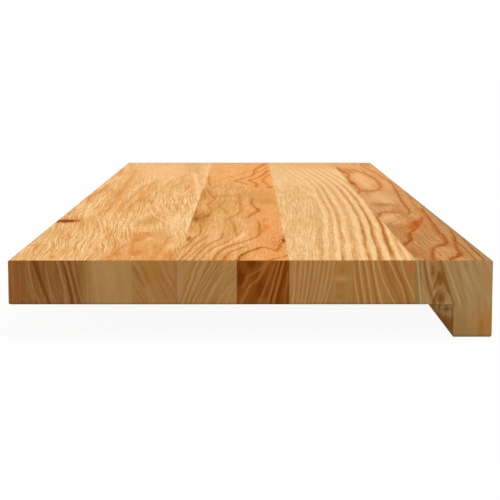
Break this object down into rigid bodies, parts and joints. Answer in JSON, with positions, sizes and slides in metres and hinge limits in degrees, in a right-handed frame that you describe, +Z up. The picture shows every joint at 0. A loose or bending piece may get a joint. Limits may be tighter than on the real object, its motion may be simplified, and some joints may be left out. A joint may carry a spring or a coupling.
{
  "type": "stair tread",
  "caption": "Solid oak stair tread glued up from flat staves, with an L-shaped nosing stave whose lip covers an old step's front edge, and a triangular block behind the lip.",
  "frame": {"origin": "under the middle of the tread, level with the bottom of the nosing's lip", "axes": "+X along the tread's length, -Y towards the nosing at the front of the step, +Z up, out of the walking surface"},
  "size_m": [0.8, 0.25, 0.04],
  "materials": {
    "oak_brown_streaked": "matte",
    "oak_tan": "matte",
    "oak_golden": "matte",
    "oak_red_brown": "matte",
    "oak_cream": "matte",
    "oak_nosing": "matte",
    "oak_block": "matte"
  },
  "bodies": {
    "root": {"back_stave": "oak_brown_streaked", "stave_2": "oak_tan", "stave_3": "oak_tan", "stave_4": "oak_golden", "stave_5": "oak_red_brown", "stave_6": "oak_cream", "stave_7": "oak_cream", "nosing_stave": "oak_nosing", "corner_block": "oak_block"}
  },
  "joints": []
}
